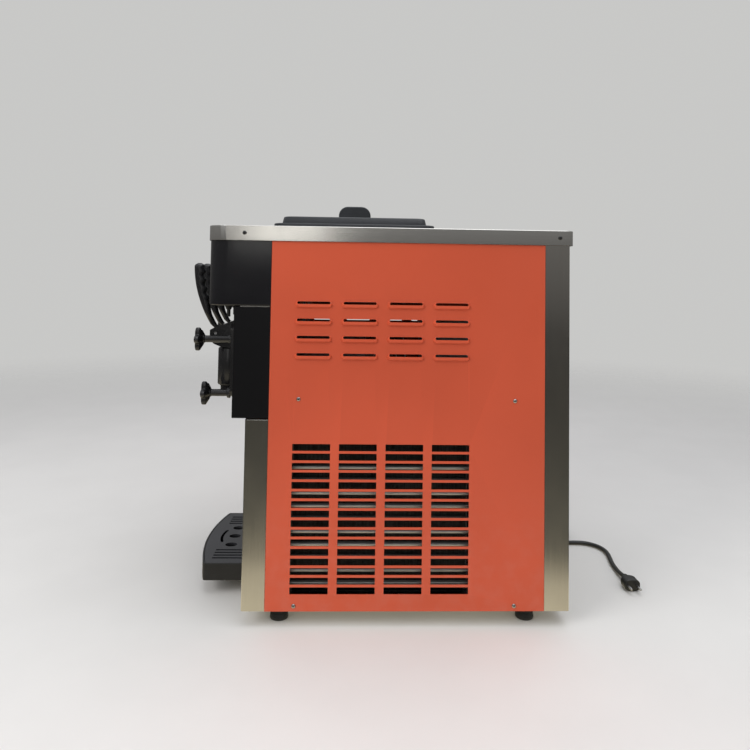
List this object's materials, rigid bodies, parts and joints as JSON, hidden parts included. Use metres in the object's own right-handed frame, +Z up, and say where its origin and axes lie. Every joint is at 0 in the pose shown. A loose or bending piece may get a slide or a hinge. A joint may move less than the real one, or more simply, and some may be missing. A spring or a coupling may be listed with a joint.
{
  "type": "soft serve machine",
  "caption": "Counter-top soft serve machine with three draw handles, twin lidded hoppers, drip tray, vented side panels and a stainless cabinet.",
  "frame": {"origin": "on the supporting surface, under the middle of the machine without its cord", "axes": "+Z up, -Y towards the user (handles and drip tray), +X to the user's right"},
  "size_m": [0.544, 0.9805, 0.8155],
  "materials": {
    "orange_enamel": "orange powder coat, fine texture, semi-gloss",
    "brushed_stainless": "vertical brushed stainless sheet",
    "rim_stainless": "brushed stainless sheet, horizontal grain",
    "black_gloss_case": "gloss black moulding",
    "black_enamel": "black semi-gloss enamel",
    "slate_plastic": "dark slate moulded plastic",
    "tray_plastic": "dark grey moulded plastic, fine grain",
    "grille_plastic": "dark blue-grey moulded plastic, fine grain",
    "black_nylon": "black moulded nylon",
    "valve_plastic": "white food-grade plastic",
    "switch_rubber": "black rubber boot",
    "foot_rubber": "black rubber foot",
    "cord_pvc": "black flexible cord sheath",
    "zinc_steel": "zinc-plated steel",
    "bare_stainless": "plain stainless tube",
    "foam": "foam jacket",
    "pulley_aluminium": "cast aluminium",
    "fin_aluminium": "dusty aluminium fins",
    "tube_aluminium": "bright tube",
    "belt_rubber": "ribbed belt",
    "motor_enamel": "dark machine enamel",
    "fan_plastic": "black fan moulding",
    "copper_pipe": "drawn copper pipe",
    "control_grey": "grey box"
  },
  "bodies": {
    "cabinet": {"air_tubes": "bare_stainless", "base_frame": "zinc_steel", "compressor": "motor_enamel", "condenser_fins": "fin_aluminium", "condenser_tubes": "tube_aluminium", "control_box": "control_grey", "control_panel": "black_gloss_case", "cord_coil": "cord_pvc", "cord_gland": "black_nylon", "cylinder_housing": "black_enamel", "cylinder_insulation": "foam", "drive_belt": "belt_rubber", "drive_motor": "motor_enamel", "fan_motor": "zinc_steel", "fan_shroud": "fan_plastic", "faucet_block": "black_nylon", "faucet_studs": "zinc_steel", "freezing_cylinders": "bare_stainless", "front_lower_panel": "brushed_stainless", "gear_reducers": "zinc_steel", "handle_pivot_rod": "zinc_steel", "head_cover": "black_gloss_case", "hopper_left": "rim_stainless", "hopper_right": "rim_stainless", "housing_top_plate": "rim_stainless", "left_side_panel": "orange_enamel", "leveling_feet": "foot_rubber", "nozzle_caps": "black_nylon", "panel_screws": "zinc_steel", "power_cord": "cord_pvc", "power_plug": "cord_pvc", "rear_panel": "brushed_stainless", "refrigerant_pipes": "copper_pipe", "right_side_panel": "orange_enamel", "top_deck": "rim_stainless"},
    "motor_pulley": {"motor_pulley": "pulley_aluminium"},
    "reducer_pulley_right": {"reducer_pulley_right": "pulley_aluminium"},
    "beater_right": {"beater_right": "valve_plastic"},
    "reducer_pulley_left": {"reducer_pulley_left": "pulley_aluminium"},
    "beater_left": {"beater_left": "valve_plastic"},
    "fan_blade": {"fan_blade": "fan_plastic"},
    "power_switch": {"power_switch": "black_nylon"},
    "hopper_lid_right": {"hopper_lid_right": "slate_plastic"},
    "hopper_lid_left": {"hopper_lid_left": "slate_plastic"},
    "drip_tray": {"drip_tray": "tray_plastic"},
    "tray_grille": {"tray_grille": "grille_plastic"},
    "star_knob_upper_right": {"star_knob_upper_right": "black_nylon"},
    "star_knob_upper_left": {"star_knob_upper_left": "black_nylon"},
    "star_knob_lower_right": {"star_knob_lower_right": "black_nylon"},
    "star_knob_lower_left": {"star_knob_lower_left": "black_nylon"},
    "draw_handle_right": {"draw_handle_right": "black_nylon"},
    "draw_valve_right": {"draw_valve_right": "valve_plastic"},
    "draw_switch_right": {"draw_switch_right": "switch_rubber"},
    "draw_handle_centre": {"draw_handle_centre": "black_nylon"},
    "draw_valve_centre": {"draw_valve_centre": "valve_plastic"},
    "draw_switch_centre": {"draw_switch_centre": "switch_rubber"},
    "draw_handle_left": {"draw_handle_left": "black_nylon"},
    "draw_valve_left": {"draw_valve_left": "valve_plastic"},
    "draw_switch_left": {"draw_switch_left": "switch_rubber"}
  },
  "joints": [
    {"name": "motor_pulley_spin", "type": "hinge", "parent": "cabinet", "child": "motor_pulley", "pos_m": [-0.11, 0.05, 0.14], "axis": [0, 1, 0], "continuous": true},
    {"name": "reducer_pulley_right_spin", "type": "hinge", "parent": "cabinet", "child": "reducer_pulley_right", "pos_m": [0.075, 0.06, 0.469], "axis": [0, 1, 0], "continuous": true},
    {"name": "beater_right_spin", "type": "hinge", "parent": "cabinet", "child": "beater_right", "pos_m": [0.075, -0.13, 0.469], "axis": [0, 1, 0], "continuous": true},
    {"name": "reducer_pulley_left_spin", "type": "hinge", "parent": "cabinet", "child": "reducer_pulley_left", "pos_m": [-0.075, 0.06, 0.469], "axis": [0, 1, 0], "continuous": true},
    {"name": "beater_left_spin", "type": "hinge", "parent": "cabinet", "child": "beater_left", "pos_m": [-0.075, -0.13, 0.469], "axis": [0, 1, 0], "continuous": true},
    {"name": "fan_spin", "type": "hinge", "parent": "cabinet", "child": "fan_blade", "pos_m": [0.17, 0.017, 0.2], "axis": [1, 0, 0], "continuous": true},
    {"name": "power_switch_rock", "type": "hinge", "parent": "cabinet", "child": "power_switch", "pos_m": [0.19, 0.381, 0.09], "axis": [-1, 0, 0], "range_deg": [0, 8]},
    {"name": "hopper_lid_right_lift", "type": "slide", "parent": "cabinet", "child": "hopper_lid_right", "axis": [0, 0, 1], "range_m": [0, 0.15]},
    {"name": "hopper_lid_left_lift", "type": "slide", "parent": "cabinet", "child": "hopper_lid_left", "axis": [0, 0, 1], "range_m": [0, 0.15]},
    {"name": "drip_tray_pull", "type": "slide", "parent": "cabinet", "child": "drip_tray", "axis": [0, -1, 0], "range_m": [0, 0.15]},
    {"name": "tray_grille_lift", "type": "slide", "parent": "drip_tray", "child": "tray_grille", "axis": [0, 0, 1], "range_m": [0, 0.06]},
    {"name": "star_knob_upper_right_turn", "type": "hinge", "parent": "cabinet", "child": "star_knob_upper_right", "pos_m": [0.115, -0.33, 0.526], "axis": [0, 1, 0], "continuous": true},
    {"name": "star_knob_upper_left_turn", "type": "hinge", "parent": "cabinet", "child": "star_knob_upper_left", "pos_m": [-0.115, -0.33, 0.526], "axis": [0, 1, 0], "continuous": true},
    {"name": "star_knob_lower_right_turn", "type": "hinge", "parent": "cabinet", "child": "star_knob_lower_right", "pos_m": [0.115, -0.33, 0.412], "axis": [0, 1, 0], "continuous": true},
    {"name": "star_knob_lower_left_turn", "type": "hinge", "parent": "cabinet", "child": "star_knob_lower_left", "pos_m": [-0.115, -0.33, 0.412], "axis": [0, 1, 0], "continuous": true},
    {"name": "draw_handle_right_pull", "type": "hinge", "parent": "cabinet", "child": "draw_handle_right", "pos_m": [0.075, -0.338, 0.537], "axis": [1, 0, 0], "range_deg": [0, 45]},
    {"name": "draw_valve_right_rise", "type": "slide", "parent": "cabinet", "child": "draw_valve_right", "axis": [0, 0, 1], "range_m": [0, 0.0186]},
    {"name": "draw_switch_right_press", "type": "slide", "parent": "cabinet", "child": "draw_switch_right", "axis": [0, 0, 1], "range_m": [0, 0.004]},
    {"name": "draw_handle_centre_pull", "type": "hinge", "parent": "cabinet", "child": "draw_handle_centre", "pos_m": [0, -0.338, 0.537], "axis": [1, 0, 0], "range_deg": [0, 45]},
    {"name": "draw_valve_centre_rise", "type": "slide", "parent": "cabinet", "child": "draw_valve_centre", "axis": [0, 0, 1], "range_m": [0, 0.0186]},
    {"name": "draw_switch_centre_press", "type": "slide", "parent": "cabinet", "child": "draw_switch_centre", "axis": [0, 0, 1], "range_m": [0, 0.004]},
    {"name": "draw_handle_left_pull", "type": "hinge", "parent": "cabinet", "child": "draw_handle_left", "pos_m": [-0.075, -0.338, 0.537], "axis": [1, 0, 0], "range_deg": [0, 45]},
    {"name": "draw_valve_left_rise", "type": "slide", "parent": "cabinet", "child": "draw_valve_left", "axis": [0, 0, 1], "range_m": [0, 0.0186]},
    {"name": "draw_switch_left_press", "type": "slide", "parent": "cabinet", "child": "draw_switch_left", "axis": [0, 0, 1], "range_m": [0, 0.004]}
  ],
  "couplings": [
    {"joint": "reducer_pulley_right_spin", "follows": "motor_pulley_spin", "ratio": 0.5167},
    {"joint": "beater_right_spin", "follows": "motor_pulley_spin", "ratio": 0.0861},
    {"joint": "reducer_pulley_left_spin", "follows": "motor_pulley_spin", "ratio": 0.5167},
    {"joint": "beater_left_spin", "follows": "motor_pulley_spin", "ratio": 0.0861},
    {"joint": "draw_valve_right_rise", "follows": "draw_handle_right_pull", "m_per_rad": 0.023682},
    {"joint": "draw_switch_right_press", "follows": "draw_handle_right_pull", "m_per_rad": 0.005093},
    {"joint": "draw_valve_centre_rise", "follows": "draw_handle_centre_pull", "m_per_rad": 0.023682},
    {"joint": "draw_switch_centre_press", "follows": "draw_handle_centre_pull", "m_per_rad": 0.005093},
    {"joint": "draw_valve_left_rise", "follows": "draw_handle_left_pull", "m_per_rad": 0.023682},
    {"joint": "draw_switch_left_press", "follows": "draw_handle_left_pull", "m_per_rad": 0.005093}
  ]
}
